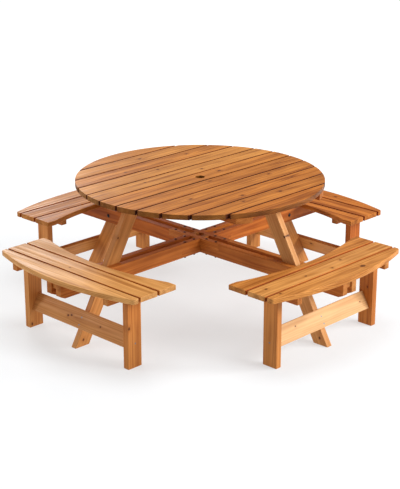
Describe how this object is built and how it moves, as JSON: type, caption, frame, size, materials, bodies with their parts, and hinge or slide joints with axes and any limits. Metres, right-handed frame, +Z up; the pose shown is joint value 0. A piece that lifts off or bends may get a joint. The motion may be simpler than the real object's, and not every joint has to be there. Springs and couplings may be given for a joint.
{
  "type": "round picnic table",
  "caption": "Round slatted timber picnic table on raking legs, with curved benches carried on a cross of bolted arms and a parasol hole in the middle.",
  "frame": {"origin": "on the ground, straight below the parasol hole", "axes": "+Z up; +X along the slats of the top, towards the east bench; +Y across the slats, towards the north bench"},
  "size_m": [2.091, 2.091, 0.712],
  "materials": {
    "top_boards": "oiled satin, golden brown stain",
    "seat_boards": "oiled satin, golden brown stain",
    "frame_boards": "oiled satin, reddish brown stain",
    "black_steel": "matt black coating",
    "screw_steel": "dull passivated"
  },
  "bodies": {
    "root": {"table_slat_1": "top_boards", "table_slat_2": "top_boards", "table_slat_3": "top_boards", "table_slat_4": "top_boards", "table_slat_5": "top_boards", "table_slat_6": "top_boards", "table_slat_7": "top_boards", "table_slat_8": "top_boards", "table_slat_9": "top_boards", "table_slat_10": "top_boards", "table_slat_11": "top_boards", "batten_west": "frame_boards", "batten_east": "frame_boards", "top_rail_east": "frame_boards", "arm_east": "frame_boards", "leg_east": "frame_boards", "post_east_left": "frame_boards", "post_east_right": "frame_boards", "seat_bearers_east": "frame_boards", "stretcher_east": "frame_boards", "seat_east_inner": "seat_boards", "seat_east_middle": "seat_boards", "seat_east_outer": "seat_boards", "top_rail_north": "frame_boards", "arm_north": "frame_boards", "leg_north": "frame_boards", "post_north_left": "frame_boards", "post_north_right": "frame_boards", "seat_bearers_north": "frame_boards", "stretcher_north": "frame_boards", "seat_north_inner": "seat_boards", "seat_north_middle": "seat_boards", "seat_north_outer": "seat_boards", "top_rail_west": "frame_boards", "arm_west": "frame_boards", "leg_west": "frame_boards", "post_west_left": "frame_boards", "post_west_right": "frame_boards", "seat_bearers_west": "frame_boards", "stretcher_west": "frame_boards", "seat_west_inner": "seat_boards", "seat_west_middle": "seat_boards", "seat_west_outer": "seat_boards", "top_rail_south": "frame_boards", "arm_south": "frame_boards", "leg_south": "frame_boards", "post_south_left": "frame_boards", "post_south_right": "frame_boards", "seat_bearers_south": "frame_boards", "stretcher_south": "frame_boards", "seat_south_inner": "seat_boards", "seat_south_middle": "seat_boards", "seat_south_outer": "seat_boards", "upper_splice_boards": "frame_boards", "lower_splice_boards": "frame_boards", "centre_blocks": "frame_boards", "cross_bolts": "black_steel", "leg_bolts": "black_steel", "nuts_and_washers": "black_steel", "wood_screws": "screw_steel"}
  },
  "joints": []
}
